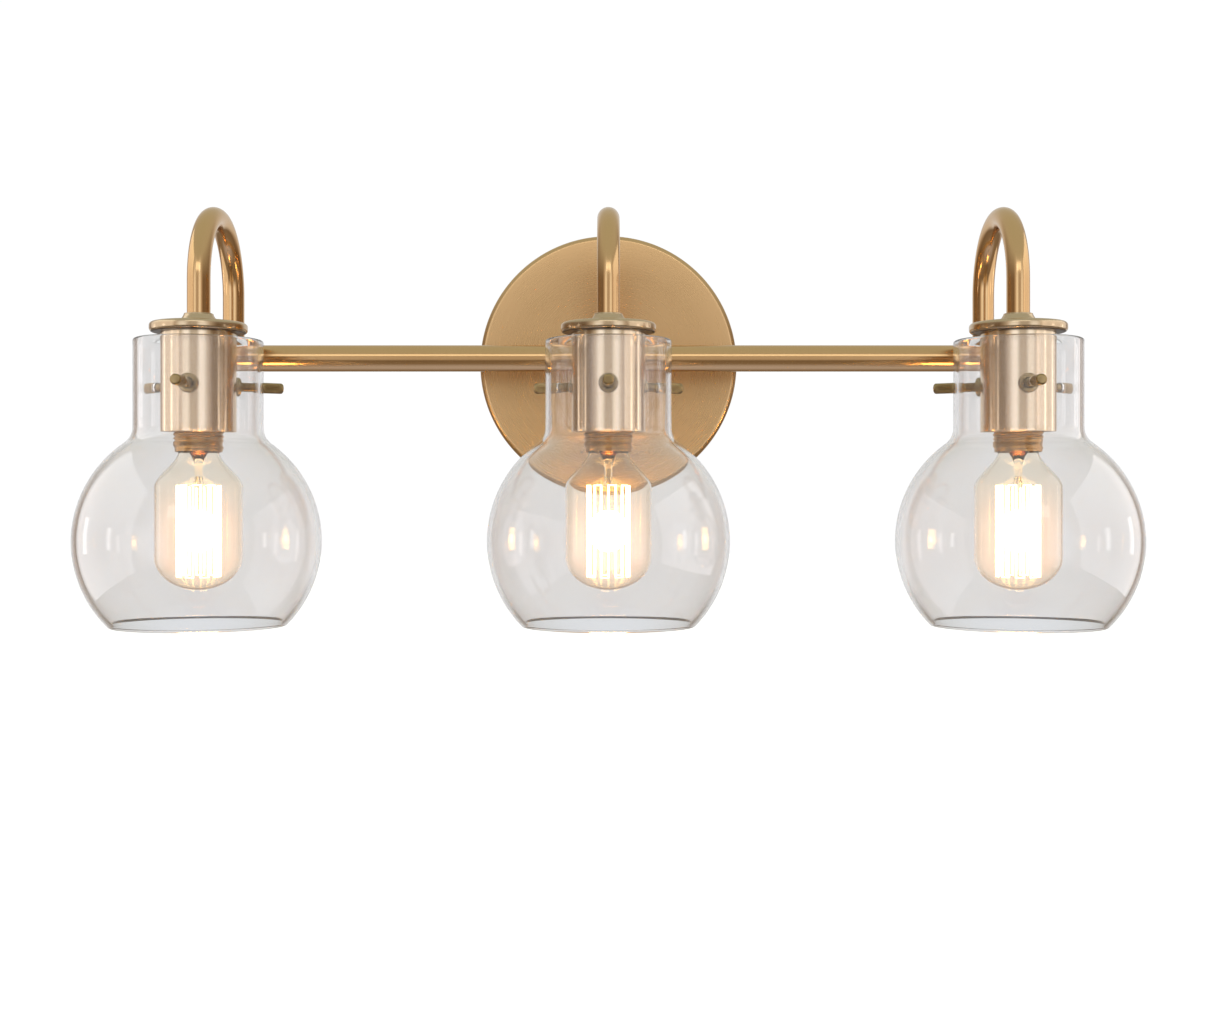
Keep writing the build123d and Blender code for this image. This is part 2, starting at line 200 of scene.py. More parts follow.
def softbox(name, place, aim, width, tall, power, warmth="#FFFFFF"):
    """A rectangular light at a place, turned to face another."""
    light = bpy.data.lights.new(name, "AREA")
    light.shape = "RECTANGLE"
    light.size = width
    light.size_y = tall
    light.energy = power
    light.color = to_linear(warmth)[:3]
    box = bpy.data.objects.new(name, light)
    box.location = place
    box.rotation_euler = (Vector(aim) - Vector(place)).to_track_quat("-Z", "Y").to_euler()
    box.visible_camera = False
    scene.collection.objects.link(box)
    return box


softbox("softbox_over_camera", (0, -1.7, 0.75), (0, 0, 0), 1.3, 0.35, 1.7)
for side in (-1, 1):
    softbox("strip_side", (side * 1.45, lamp_plane - 0.40, -0.06), (0, lamp_plane, -0.08), 0.10, 0.34, 0.22)
    softbox("strip_rear", (side * 1.35, lamp_plane + 0.35, -0.06), (0, lamp_plane, -0.08), 0.09, 0.34, 0.20)

# Level camera at the height of the globes' shoulders, a little under a metre from the lamps.
camera_data = bpy.data.cameras.new("camera")
camera_data.sensor_width = 36.0
camera_data.lens = 46.8
camera_data.shift_x = -0.0045
camera_data.shift_y = -0.0108
camera = bpy.data.objects.new("camera", camera_data)
camera.location = (0, lamp_plane - 0.815, -0.0804)
camera.rotation_euler = (pi / 2, 0, 0)
scene.collection.objects.link(camera)
scene.camera = camera

# ---------------------------------------------------------------------------------------------------
# Canopy: a round steel pan, spun over a former with a rolled front edge, brass plated, brushed and
# lacquered in champagne gold. It stands on the wall on its rim.


def arc(centre_r, centre_z, radius, start, end, steps=8):
    """Points on an arc in an outline, between two angles in degrees from straight out."""
    angles = [(start + (end - start) * step / steps) * pi / 180 for step in range(steps + 1)]
    return [(centre_r + radius * cos(a), centre_z + radius * sin(a)) for a in angles]


def finish_mesh(name, shape, sharp=38):
    """Turns a bmesh into a smooth-shaded object that keeps edges sharper than an angle."""
    bmesh.ops.recalc_face_normals(shape, faces=shape.faces)
    mesh = bpy.data.meshes.new(name)
    shape.to_mesh(mesh)
    shape.free()
    mesh.shade_smooth()
    mesh.set_sharp_from_angle(angle=sharp * pi / 180)
    piece = bpy.data.objects.new(name, mesh)
    scene.collection.objects.link(piece)
    return piece


def lathe(name, outline, sides=128, flutes=None, sharp=38):
    """A turned piece from a closed outline of radius and height in mm. Its UV runs round and along
    in mm. flutes, if given, is a count, a depth and the heights between which they are cut."""
    shape = bmesh.new()
    uv_layer = shape.loops.layers.uv.new("turned")
    along = [0.0]
    for first, last in zip(outline, outline[1:] + outline[:1]):
        along.append(along[-1] + sqrt((last[0] - first[0]) ** 2 + (last[1] - first[1]) ** 2))
    widest = max(radius for radius, _ in outline)
    rings = []
    for side in range(sides):
        angle = pi / 2 + 2 * pi * side / sides
        ring = []
        for radius, level in outline:
            if flutes and flutes[2] < level < flutes[3] and radius > flutes[4]:
                radius -= flutes[1] * (0.5 - 0.5 * cos(flutes[0] * angle)) ** 2
            ring.append(shape.verts.new((radius * MM * cos(angle), radius * MM * sin(angle), level * MM)))
        rings.append(ring)
    for side, ring in enumerate(rings):
        other = rings[(side + 1) % sides]
        for i in range(len(outline)):
            j = (i + 1) % len(outline)
            if outline[i][0] < 1e-6 and outline[j][0] < 1e-6:
                continue
            face = shape.faces.new((ring[i], other[i], other[j], ring[j]))
            round_now, round_next = (2 * pi * widest * s / sides for s in (side, side + 1))
            first, last = along[i], along[i + 1]
            spots = ((round_now, first), (round_next, first), (round_next, last), (round_now, last))
            for loop, spot in zip(face.loops, spots):
                loop[uv_layer].uv = spot
    bmesh.ops.remove_doubles(shape, verts=shape.verts, dist=1e-8)
    return finish_mesh(name, shape, sharp)


def turn_mesh(piece, matrix):
    """Turns a piece's own mesh, so that its place stays in the mesh."""
    piece.data.transform(matrix)
    return piece


def metal(name, dark, light, rough, brush_mm, stretch, depth, anisotropic=0.0, spin=0.0):
    """Brushed or turned metal: fine lines brush_mm apart, stretch times longer along the brush."""
    material = bpy.data.materials.new(name)
    material.use_nodes = True
    tree = material.node_tree
    shader = tree.nodes["Principled BSDF"]
    shader.inputs["Metallic"].default_value = 1.0
    shader.inputs["Anisotropic"].default_value = anisotropic
    shader.inputs["Anisotropic Rotation"].default_value = spin
    place = add(tree, "ShaderNodeTexCoord").outputs["UV"]
    along_brush = add(tree, "ShaderNodeMapping", links={0: place})
    along_brush.inputs["Scale"].default_value = (1 / (brush_mm * stretch), 1 / brush_mm, 1)
    brush = {0: along_brush.outputs[0]}
    lines = add(tree, "ShaderNodeTexNoise", links=brush, Scale=1.0, Detail=4.0, Roughness=0.6)
    cloud_place = add(tree, "ShaderNodeTexCoord").outputs["Object"]
    cloud = add(tree, "ShaderNodeTexNoise", links={0: cloud_place}, Scale=28.0, Detail=3.0, Roughness=0.55)
    both = add(tree, "ShaderNodeMix", {"data_type": "FLOAT"}, {2: lines.outputs[0], 3: cloud.outputs[0]})
    both.inputs[0].default_value = 0.4
    colour = add(tree, "ShaderNodeMix", {"data_type": "RGBA"}, {0: both.outputs[0]})
    colour.inputs[6].default_value = to_linear(dark)
    colour.inputs[7].default_value = to_linear(light)
    tree.links.new(colour.outputs[2], shader.inputs["Base Color"])
    gloss = add(tree, "ShaderNodeMapRange", links={0: both.outputs[0]})
    gloss.inputs["From Min"].default_value = 0.3
    gloss.inputs["From Max"].default_value = 0.7
    gloss.inputs["To Min"].default_value = rough - 0.03
    gloss.inputs["To Max"].default_value = rough + 0.03
    tree.links.new(gloss.outputs[0], shader.inputs["Roughness"])
    relief = {"Height": lines.outputs[0]}
    bump = add(tree, "ShaderNodeBump", links=relief, Strength=depth, Distance=0.02 * MM)
    tree.links.new(bump.outputs[0], shader.inputs["Normal"])
    if anisotropic:
        tangent = add(tree, "ShaderNodeTangent", {"direction_type": "UV_MAP"})
        tree.links.new(tangent.outputs[0], shader.inputs["Tangent"])
    return material


# Champagne gold: warm brass plate under a satin lacquer, brushed in long fine lines on the pan and
# smoother on the tubes. The lines are drawn 0.5 mm apart, coarser than the real 0.1 mm, to show.
brushed_gold = metal("brushed_champagne_gold", "#CEA979", "#D8B384", 0.28, 0.5, 160, 0.06, 0.35)
drawn_gold = metal("drawn_champagne_gold", "#CFA877", "#DAB484", 0.16, 0.5, 200, 0.06)


def dress(piece, body, slot, material, *nodes):
    """Gives a piece its material and its body, and hides the pieces of the frame that it stands for. The
    slot is not used.
    """
    piece.data.materials.clear()
    piece.data.materials.append(material)
    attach(piece, body)
    if nodes:
        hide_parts(*nodes)
    return piece


canopy_radius = 76.0
canopy_depth = 20.0
canopy_sheet = 1.2
rolled_edge = 3.0
stem_hole = 5.0
out_from_wall = Matrix.Rotation(pi / 2, 4, "X")
pan_face = canopy_radius - rolled_edge
pan = [(canopy_radius, 0.25)]
pan += arc(pan_face, canopy_depth - rolled_edge, rolled_edge, 0, 90, 10)
pan += [(55.0, canopy_depth), (30.0, canopy_depth), (stem_hole, canopy_depth)]
pan_inside = canopy_depth - canopy_sheet
pan += [(stem_hole, pan_inside), (40.0, pan_inside)]
pan += arc(pan_face, canopy_depth - rolled_edge, rolled_edge - canopy_sheet, 90, 0, 8)
rim_inside = canopy_radius - canopy_sheet
pan += [(rim_inside, 0.25), (rim_inside + 0.25, 0), (canopy_radius - 0.25, 0)]
canopy = turn_mesh(lathe("canopy_pan", pan, 256), out_from_wall)
dress(canopy, "fixture", "brushed_gold", brushed_gold, "canopy")

# ---------------------------------------------------------------------------------------------------
# Hardware: flush screws hold the pan to its bracket, a pressed zinc-plated strap. With it go zinc nuts
# and nipples, a green ground screw and moulded twist-on connectors on off-white cables.


def plain_finish(name, dark, light, rough, metallic, grain_mm, depth, coat=0.0):
    """Cast, plated or moulded surfaces with a fine even grain."""
    material = bpy.data.materials.new(name)
    material.use_nodes = True
    tree = material.node_tree
    shader = tree.nodes["Principled BSDF"]
    shader.inputs["Metallic"].default_value = metallic
    shader.inputs["Coat Weight"].default_value = coat
    place = add(tree, "ShaderNodeTexCoord").outputs["Object"]
    fine = add(tree, "ShaderNodeTexNoise", links={0: place}, Scale=1 / (grain_mm * MM), Detail=3.0)
    colour = add(tree, "ShaderNodeMix", {"data_type": "RGBA"}, {0: fine.outputs[0]})
    colour.inputs[6].default_value = to_linear(dark)
    colour.inputs[7].default_value = to_linear(light)
    tree.links.new(colour.outputs[2], shader.inputs["Base Color"])
    gloss = add(tree, "ShaderNodeMapRange", links={0: fine.outputs[0]})
    gloss.inputs["To Min"].default_value = max(rough - 0.08, 0.03)
    gloss.inputs["To Max"].default_value = rough + 0.08
    tree.links.new(gloss.outputs[0], shader.inputs["Roughness"])
    relief = {"Height": fine.outputs[0]}
    bump = add(tree, "ShaderNodeBump", links=relief, Strength=depth, Distance=0.05 * MM)
    tree.links.new(bump.outputs[0], shader.inputs["Normal"])
    return material


zinc_plate = plain_finish("zinc_plated_steel", "#9FA3A6", "#C6C9CA", 0.34, 1.0, 3.0, 0.25)
green_zinc = plain_finish("green_passivated_steel", "#1F6B3A", "#2E8A4E", 0.38, 1.0, 2.0, 0.2)
yellow_nylon = plain_finish("moulded_amber_nylon", "#C87A12", "#D98C22", 0.45, 0.0, 1.5, 0.15)
ivory_pvc = plain_finish("ivory_pvc_insulation", "#DDD8C8", "#E8E4D6", 0.42, 0.0, 1.2, 0.12)
porcelain = plain_finish("glazed_porcelain", "#EFEBDF", "#F7F4EA", 0.16, 0.0, 6.0, 0.1, 0.6)
bright_brass = plain_finish("stamped_bright_brass", "#A97C45", "#C89C60", 0.22, 1.0, 2.5, 0.2)
black_vitrite = plain_finish("black_vitrite_glass", "#0B0B0C", "#151416", 0.12, 0.0, 2.0, 0.1)
small_gold = plain_finish("champagne_gold_screw", "#BF9566", "#D2A978", 0.30, 1.0, 1.5, 0.15)


def coat_node(node, material):
    """Gives a piece of the frame, left as it is, its material."""
    slots = frame["nodes"][node].material_slots
    for place in slots:
        place.link = "DATA"
        place.material = material
    if not slots:
        frame["nodes"][node].data.materials.append(material)


for node, material in (
    ("mounting_bracket", zinc_plate),
    ("threaded_nipples", zinc_plate),
    ("lock_nuts", zinc_plate),
    ("ground_screw", green_zinc),
    ("wire_connectors", yellow_nylon),
    ("socket_contacts", bright_brass),
    ("canopy_side_screws", small_gold),
):
    coat_node(node, material)

# ---------------------------------------------------------------------------------------------------
# Bar and stem: drawn brass-plated steel tube, the stem coped and brazed behind the bar, its flange
# turned. A turned cap is pressed into each end of the bar.

bar_low, bar_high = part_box("bar")
bar_centre = (bar_low + bar_high) / 2
bar_half = (bar_high.x - bar_low.x) / 2 / MM
bar_radius = 7.5
bar_bore = 6.3
cap_thick = 1.6
cap_round = 0.8


def pipe(name, points, radius, sides=48, sharp=38):
    """A round rod or tube along points in mm. Its UV runs along and round in mm."""
    shape = bmesh.new()
    uv_layer = shape.loops.layers.uv.new("drawn")
    spots = [Vector(point) * MM for point in points]
    tangent = (spots[1] - spots[0]).normalized()
    across = tangent.orthogonal().normalized()
    rings, along = [], [0.0]
    for i, spot in enumerate(spots):
        before = spots[max(i - 1, 0)]
        after = spots[min(i + 1, len(spots) - 1)]
        heading = (after - before).normalized()
        across = tangent.rotation_difference(heading) @ across
        tangent = heading
        other = tangent.cross(across)
        ring = []
        for side in range(sides):
            angle = 2 * pi * side / sides
            ring.append(shape.verts.new(spot + radius * MM * (cos(angle) * across + sin(angle) * other)))
        rings.append(ring)
        if i:
            along.append(along[-1] + (spot - spots[i - 1]).length / MM)
    for i in range(len(rings) - 1):
        for side in range(sides):
            nxt = (side + 1) % sides
            here, ahead = rings[i], rings[i + 1]
            face = shape.faces.new((here[side], ahead[side], ahead[nxt], here[nxt]))
            low, high = (2 * pi * radius * s / sides for s in (side, side + 1))
            marks = ((along[i], low), (along[i + 1], low), (along[i + 1], high), (along[i], high))
            for loop, mark in zip(face.loops, marks):
                loop[uv_layer].uv = mark
    shape.faces.new(rings[0])
    shape.faces.new(rings[-1][::-1])
    return finish_mesh(name, shape, sharp)


along_bar = Matrix.Rotation(pi / 2, 4, "Y")
bar_rings = 24
bar_tube = [(bar_radius, -bar_half + 2 * bar_half * i / bar_rings) for i in range(bar_rings + 1)]
bar_tube += [(bar_bore, bar_half), (bar_bore, -bar_half)]
bar = turn_mesh(lathe("bar_tube", bar_tube, 96), Matrix.Translation(bar_centre) @ along_bar)
dress(bar, "fixture", "brushed_gold", drawn_gold, "bar")
for side, word in ((-1, "left"), (1, "right")):
    cap = [(0, bar_half), (bar_radius - 0.05, bar_half)]
    cap += arc(bar_radius - 0.05 - cap_round, bar_half + cap_thick - cap_round, cap_round, 0, 90, 6)
    cap += [(bar_radius - 3, bar_half + cap_thick), (0, bar_half + cap_thick)]
    cap_piece = lathe("bar_end_cap_" + word, cap, 96)
    turn_mesh(cap_piece, Matrix.Translation(bar_centre) @ Matrix.Rotation(side * pi / 2, 4, "Y"))
    dress(cap_piece, "fixture", "brushed_gold", drawn_gold, *(["bar_end_caps"] if side < 0 else []))

stem_radius = 7.0
flange_radius = 11.0
flange_thick = 2.4
flange_round = 1.2
bar_reach = -bar_centre.y / MM
stem = [(stem_hole + 0.1, canopy_depth), (flange_radius, canopy_depth)]
flange_top = canopy_depth + flange_thick
stem += arc(flange_radius - flange_round, flange_top - flange_round, flange_round, 0, 90, 8)
stem += [(stem_radius + 0.8, flange_top), (stem_radius + 0.2, flange_top + 0.2)]
stem += [(stem_radius, flange_top + 0.8), (stem_radius, bar_reach - 3), (stem_hole + 0.1, bar_reach - 3)]
stem_piece = turn_mesh(lathe("stem_tube", stem, 96), out_from_wall)
dress(stem_piece, "fixture", "brushed_gold", drawn_gold, "stem")

# ---------------------------------------------------------------------------------------------------
# Gooseneck arms: 12 mm brass-plated tube bent over a mandrel into an even half circle, brazed on top
# of the bar. Each carries a turned cone and a turned cap, screwed on with the socket. The cap's
# underside is painted dark, as painted shade.

lamps = ("left", "centre", "right")
arm_radius = 6.0
arm_bend = 38.0
cone_foot = 9.9
cone_head = 7.75
cap_edge = 1.9
arc_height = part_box("arm_centre")[1].z / MM - arm_radius - arm_bend
turned_gold = metal("turned_champagne_gold", "#C2A988", "#D6BF9F", 0.20, 0.5, 160, 0.2, 0.4, 0.25)
# Painted shade: a dark metal for the cap's downward faces, standing for the shade under the cap.
cap_underside_painted_shade = metal("turned_dark_bronze", "#3A2C22", "#54402F", 0.35, 0.5, 160, 0.2)


def rounded_disc(radius, low, high, edge):
    """Outline of a disc with both its edges rounded."""
    outline = [(0, low), (radius - 2 * edge, low)]
    outline += arc(radius - edge, low + edge, edge, -90, 0)
    outline += arc(radius - edge, high - edge, edge, 0, 90)
    return outline + [(radius - 2 * edge, high), (0, high)]


for lamp in lamps:
    collar_low, collar_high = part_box("arm_collar_" + lamp)
    lamp_centre = (collar_low + collar_high) / 2
    x, front_y = lamp_centre.x / MM, lamp_centre.y / MM
    back_y = front_y + 2 * arm_bend
    middle_y = front_y + arm_bend
    curve = [i * pi / 48 for i in range(49)]
    route = [(x, back_y, 4.0 + (arc_height - 4.0) * i / 8) for i in range(8)]
    route += [(x, middle_y + arm_bend * cos(a), arc_height + arm_bend * sin(a)) for a in curve]
    foot = collar_high.z / MM - 2.5
    route += [(x, front_y, arc_height + (foot - arc_height) * i / 6) for i in range(1, 7)]
    arm = pipe("gooseneck_arm_" + lamp, route, arm_radius, 64)
    dress(arm, "fixture", "brushed_gold", drawn_gold, "arm_" + lamp)

    top, low = collar_high.z / MM, collar_low.z / MM
    cone = [(0, low), (cone_foot, low), (cone_foot, low + 0.5), (cone_foot - 0.3, low + 0.9)]
    cone += [(cone_head + 0.15, top - 1.3), (cone_head, top - 0.9)]
    cone += arc(cone_head - 0.65, top - 0.45, 0.45, -20, 90, 5) + [(0, top)]
    collar = lathe("arm_cone_" + lamp, cone, 96)
    collar.location = (lamp_centre.x, lamp_centre.y, 0)
    dress(collar, "fixture", "brushed_gold", turned_gold, "arm_collar_" + lamp)

    cap_low, cap_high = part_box("cap_disc_" + lamp)
    radius = (cap_high.x - cap_low.x) / 2 / MM
    disc = rounded_disc(radius, cap_low.z / MM, cap_high.z / MM, cap_edge)
    cap = lathe("cap_disc_turned_" + lamp, disc, 160)
    cap.location = (lamp_centre.x, lamp_centre.y, 0)
    dress(cap, "fixture", "brushed_gold", turned_gold, "cap_disc_" + lamp)
    # The faces pointing down get the painted shade; the rest keep the turned gold.
    cap.data.materials.append(cap_underside_painted_shade)
    for face in cap.data.polygons:
        face.material_index = 1 if face.normal.z < -0.8 else 0
    coat_node("lamp_cable_" + lamp, ivory_pvc)

# ---------------------------------------------------------------------------------------------------
# Socket cups: drawn brass cups, turned and plated in a paler champagne, with three round bosses
# tapped for the thumbscrews and plated darker, like them. The socket inside is porcelain with a
# stamped brass screw shell.

cup_radius = 19.25
cup_bore = 18.05
cup_sheet = 1.2
boss_radius = 5.0
boss_out = 2.4
boss_bore = 2.45
boss_round = 0.6
screw_ways = {"front": -90, "right": 30, "left": 150}


def lamp_axis(lamp):
    """Where the upright axis of a lamp stands."""
    cap_low, cap_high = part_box("cap_disc_" + lamp)
    return (cap_low.x + cap_high.x) / 2, (cap_low.y + cap_high.y) / 2


def screw_level(lamp, way):
    """The height of one thumbscrew."""
    screw_low, screw_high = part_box("thumb_screw_%s_%s" % (lamp, way))
    return (screw_low.z + screw_high.z) / 2


def outward(way):
    """Turns a piece made upright to point out of the lamp along one thumbscrew."""
    return Matrix.Rotation(screw_ways[way] * pi / 180, 4, "Z") @ Matrix.Rotation(pi / 2, 4, "Y")


satin_champagne = metal("satin_turned_champagne", "#DEC9AC", "#EBD8BD", 0.18, 0.5, 200, 0.2, 0.4, 0.25)
screw_gold = metal("plated_screw_gold", "#8F7A55", "#AE966E", 0.24, 0.6, 30, 0.3)
for lamp in lamps:
    cup_low, cup_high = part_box("socket_cup_" + lamp)
    top, low = cup_high.z / MM, cup_low.z / MM
    lamp_x, lamp_y = lamp_axis(lamp)
    cup = arc(cup_radius - 0.45, low + 0.45, 0.45, -90, 0, 5)
    cup += [(cup_radius, low + (top - low) * i / 12) for i in range(1, 12)]
    cup += [(cup_radius, top - 0.02), (5.0, top - 0.02), (5.0, top - cup_sheet)]
    cup += [(cup_bore, top - cup_sheet), (cup_bore, low + 0.2), (cup_bore + 0.2, low)]
    shell = lathe("socket_cup_turned_" + lamp, cup, 160)
    shell.location = (lamp_x, lamp_y, 0)
    dress(shell, "fixture", "satin_gold", satin_champagne, "socket_cup_" + lamp)
    for way in screw_ways:
        foot, face = cup_radius - 0.9, cup_radius + boss_out
        boss = [(boss_bore, foot), (boss_radius, foot), (boss_radius, face - boss_round)]
        boss += arc(boss_radius - boss_round, face - boss_round, boss_round, 0, 90, 6)
        boss += [(2.9, face), (boss_bore, face - 0.4)]
        boss_piece = lathe("cup_boss_%s_%s" % (lamp, way), boss, 64)
        turn_mesh(boss_piece, outward(way))
        boss_piece.location = (lamp_x, lamp_y, screw_level(lamp, way))
        dress(boss_piece, "fixture", "satin_gold", screw_gold)
    coat_node("socket_body_" + lamp, porcelain)
    coat_node("screw_shell_" + lamp, bright_brass)

# ---------------------------------------------------------------------------------------------------
# Thumbscrews: slim turned brass pins with a rounded, straight-knurled head, plated to match the cups.
# Each passes through a hole in the glass and threads into its boss.

shank_radius = 2.4
tip_radius_out = 18.65
head_start = 33.6
head_end = 45.0
head_radius = 2.8
thread_pitch = 0.8
for lamp in lamps:
    lamp_x, lamp_y = lamp_axis(lamp)
    for way in screw_ways:
        pin = [(0, tip_radius_out), (shank_radius - 0.5, tip_radius_out)]
        turn = tip_radius_out + 0.5
        while turn < cup_radius + boss_out + 6:
            pin += [(shank_radius, turn), (shank_radius, turn + 0.25), (shank_radius - 0.28, turn + 0.5)]
            turn += thread_pitch
        pin += [(shank_radius - 0.1, turn), (shank_radius - 0.1, head_start)]
        pin += arc(head_radius - 0.3, head_start + 0.3, 0.3, -90, 0, 4)
        pin += [(head_radius, head_start + 1.0 + 8.0 * i / 10) for i in range(11)]
        pin += arc(head_radius - 1.1, head_end - 1.1, 1.1, 0, 90, 8) + [(0, head_end)]
        knurl = (24, 0.22, head_start + 0.9, head_start + 9.2, 1.5)
        screw = lathe("thumbscrew_%s_%s" % (lamp, way), pin, 144, knurl, 30)
        turn_mesh(screw, outward(way))
        screw.location = (lamp_x, lamp_y, screw_level(lamp, way))
        stood_for = "thumb_screw_%s_%s" % (lamp, way)
        dress(screw, "screw_%s_%s" % (lamp, way), "satin_gold", screw_gold, stood_for)

# ---------------------------------------------------------------------------------------------------
# Glass shades: clear soda-lime glass, blown into a mould, cut at both ends and fire-polished. Blown
# glass is very slightly wavy, which bends the light without clouding it.


def clear_glass(name, tint, wave_mm, wave_depth, clarity, ior):
    """Clear glass, a little wavy, with a faint milky bloom where clarity is under 1."""
    material = bpy.data.materials.new(name)
    material.use_nodes = True
    tree = material.node_tree
    shader = tree.nodes["Principled BSDF"]
    shader.inputs["Transmission Weight"].default_value = clarity
    shader.inputs["IOR"].default_value = ior
    place = add(tree, "ShaderNodeTexCoord").outputs["Object"]
    fine = 1 / (wave_mm * MM)
    wave = add(tree, "ShaderNodeTexNoise", links={0: place}, Scale=fine, Detail=1.5, Roughness=0.4)
    relief = {"Height": wave.outputs[0]}
    bump = add(tree, "ShaderNodeBump", links=relief, Strength=0.5, Distance=wave_depth * MM)
    tree.links.new(bump.outputs[0], shader.inputs["Normal"])
    colour = add(tree, "ShaderNodeMix", {"data_type": "RGBA"}, {0: wave.outputs[0]})
    colour.inputs[6].default_value = to_linear(tint[0])
    colour.inputs[7].default_value = to_linear(tint[1])
    tree.links.new(colour.outputs[2], shader.inputs["Base Color"])
    film = add(tree, "ShaderNodeMapRange", links={0: wave.outputs[0]})
    film.inputs["To Min"].default_value = 0.0
    film.inputs["To Max"].default_value = 0.03
    tree.links.new(film.outputs[0], shader.inputs["Roughness"])
    return material


blown_glass = clear_glass("clear_blown_glass", ("#F9F7F7", "#FCFBFB"), 26.0, 0.05, 0.975, 1.47)
neck_radius = 33.0
globe_radius = 63.0
mouth_radius = 45.0
shoulder = 10.0
wall = 2.5
hole_radius = 2.75
for lamp in lamps:
    shade_low, shade_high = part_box("glass_shade_" + lamp)
    shade_x, shade_y = (shade_low.x + shade_high.x) / 2, (shade_low.y + shade_high.y) / 2
    top = shade_high.z / MM
    mouth_angle = atan2(sqrt(globe_radius**2 - mouth_radius**2), mouth_radius)
    mid = globe_radius - wall / 2
    tip_below = mid * sin(mouth_angle) + wall / 2 * cos(mouth_angle)
    globe_z = shade_low.z / MM + tip_below
    # The rim's round edge ends level with the foot of the shade.
    rim_angle = asin((tip_below - wall / 2) / mid)
    shoulder_r = neck_radius + shoulder
    shoulder_z = globe_z + sqrt((globe_radius + shoulder) ** 2 - shoulder_r**2)
    lean = atan2(shoulder_z - globe_z, shoulder_r) * 180 / pi
    rim_deg = rim_angle * 180 / pi
    neck_top = top - wall / 2
    neck_long = neck_top - shoulder_z
    outline = arc(neck_radius - wall / 2, neck_top, wall / 2, 180, 0, 10)
    outline += [(neck_radius, neck_top - neck_long * i / 14) for i in range(1, 14)]
    outline += arc(shoulder_r, shoulder_z, shoulder, 180, 180 + lean, 14)
    outline += arc(0, globe_z, globe_radius, lean, -rim_deg, 56)[1:]
    tip_r, tip_z = mid * cos(rim_angle), globe_z - mid * sin(rim_angle)
    outline += arc(tip_r, tip_z, wall / 2, -rim_deg, -rim_deg - 180, 10)[1:]
    outline += arc(0, globe_z, globe_radius - wall, -rim_deg, lean, 56)[1:]
    outline += arc(shoulder_r, shoulder_z, shoulder + wall, 180 + lean, 180, 14)[1:]
    outline += [(neck_radius - wall, shoulder_z + neck_long * i / 14) for i in range(1, 14)]
    shade = lathe("glass_shade_blown_" + lamp, outline, 192, sharp=50)
    shade.location = (shade_x, shade_y, 0)
    for way in screw_ways:
        drill = lathe("drill", [(0, 28), (hole_radius, 28), (hole_radius, 38), (0, 38)], 48)
        turn_mesh(drill, Matrix.Translation((0, 0, screw_level(lamp, way))) @ outward(way))
        drill.location = shade.location
        cut = shade.modifiers.new("hole", "BOOLEAN")
        cut.operation = "DIFFERENCE"
        cut.solver = "EXACT"
        cut.object = drill
        bpy.context.view_layer.update()
        bored = shade.evaluated_get(bpy.context.evaluated_depsgraph_get())
        drilled = bpy.data.meshes.new_from_object(bored)
        shade.modifiers.clear()
        shade.data = drilled
        bpy.data.objects.remove(drill)
    shade.data.shade_smooth()
    shade.data.set_sharp_from_angle(angle=50 * pi / 180)
    shade.visible_shadow = False
    dress(shade, "fixture", "clear_glass", blown_glass, "glass_shade_" + lamp)

# ---------------------------------------------------------------------------------------------------
# Bulbs: tubular clear bulbs with a rolled brass screw base, a pressed glass stem with six lead wires
# and a cage of carbon filament, lit. The envelope carries a faint painted glow in front of the cage.


def lit(name, colour, strength):
    """A glowing filament, a little uneven along its length."""
    material = bpy.data.materials.new(name)
    material.use_nodes = True
    tree = material.node_tree
    shader = tree.nodes["Principled BSDF"]
    shader.inputs["Base Color"].default_value = to_linear("#FFC98A")
    place = add(tree, "ShaderNodeTexCoord").outputs["Object"]
    patch = add(tree, "ShaderNodeTexNoise", links={0: place}, Scale=120.0, Detail=2.0)
    heat = add(tree, "ShaderNodeMix", {"data_type": "RGBA"}, {0: patch.outputs[0]})
    heat.inputs[6].default_value = to_linear(colour[0])
    heat.inputs[7].default_value = to_linear(colour[1])
    tree.links.new(heat.outputs[2], shader.inputs["Emission Color"])
    shader.inputs["Emission Strength"].default_value = strength
    material.cycles.emission_sampling = "NONE"
    return material


glowing_carbon = lit("glowing_carbon", ("#FFD27A", "#FFE3A0"), 9.0)
bulb_clear = clear_glass("clear_bulb_glass", ("#FFFAF0", "#FFFCF5"), 18.0, 0.03, 1.0, 1.25)
# The halo is a painted glow: emission on the glass near the cage, fading upward and towards the edges.
halo = bulb_clear.node_tree
halo_shader = halo.nodes["Principled BSDF"]
halo_place = add(halo, "ShaderNodeTexCoord").outputs["Object"]
halo_height = add(halo, "ShaderNodeSeparateXYZ", links={0: halo_place}).outputs["Z"]
bulb_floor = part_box("bulb_glass_centre")[0].z
soft_step = {"interpolation_type": "SMOOTHSTEP"}
halo_fade = add(halo, "ShaderNodeMapRange", soft_step, {0: halo_height})
halo_fade.inputs["From Min"].default_value = bulb_floor + 64 * MM
halo_fade.inputs["From Max"].default_value = bulb_floor + 30 * MM
halo_fade.inputs["To Min"].default_value = 0.0
halo_fade.inputs["To Max"].default_value = 0.09
facing = add(halo, "ShaderNodeLayerWeight", Blend=0.5).outputs["Facing"]
halo_core = add(halo, "ShaderNodeMapRange", soft_step, {0: facing})
halo_core.inputs["From Min"].default_value = 0.75
halo_core.inputs["From Max"].default_value = 0.12
halo_parts = {0: halo_fade.outputs[0], 1: halo_core.outputs[0]}
halo_both = add(halo, "ShaderNodeMath", {"operation": "MULTIPLY"}, halo_parts)
halo.links.new(halo_both.outputs[0], halo_shader.inputs["Emission Strength"])
halo_shader.inputs["Emission Color"].default_value = to_linear("#FFAB66")
bulb_clear.cycles.emission_sampling = "NONE"

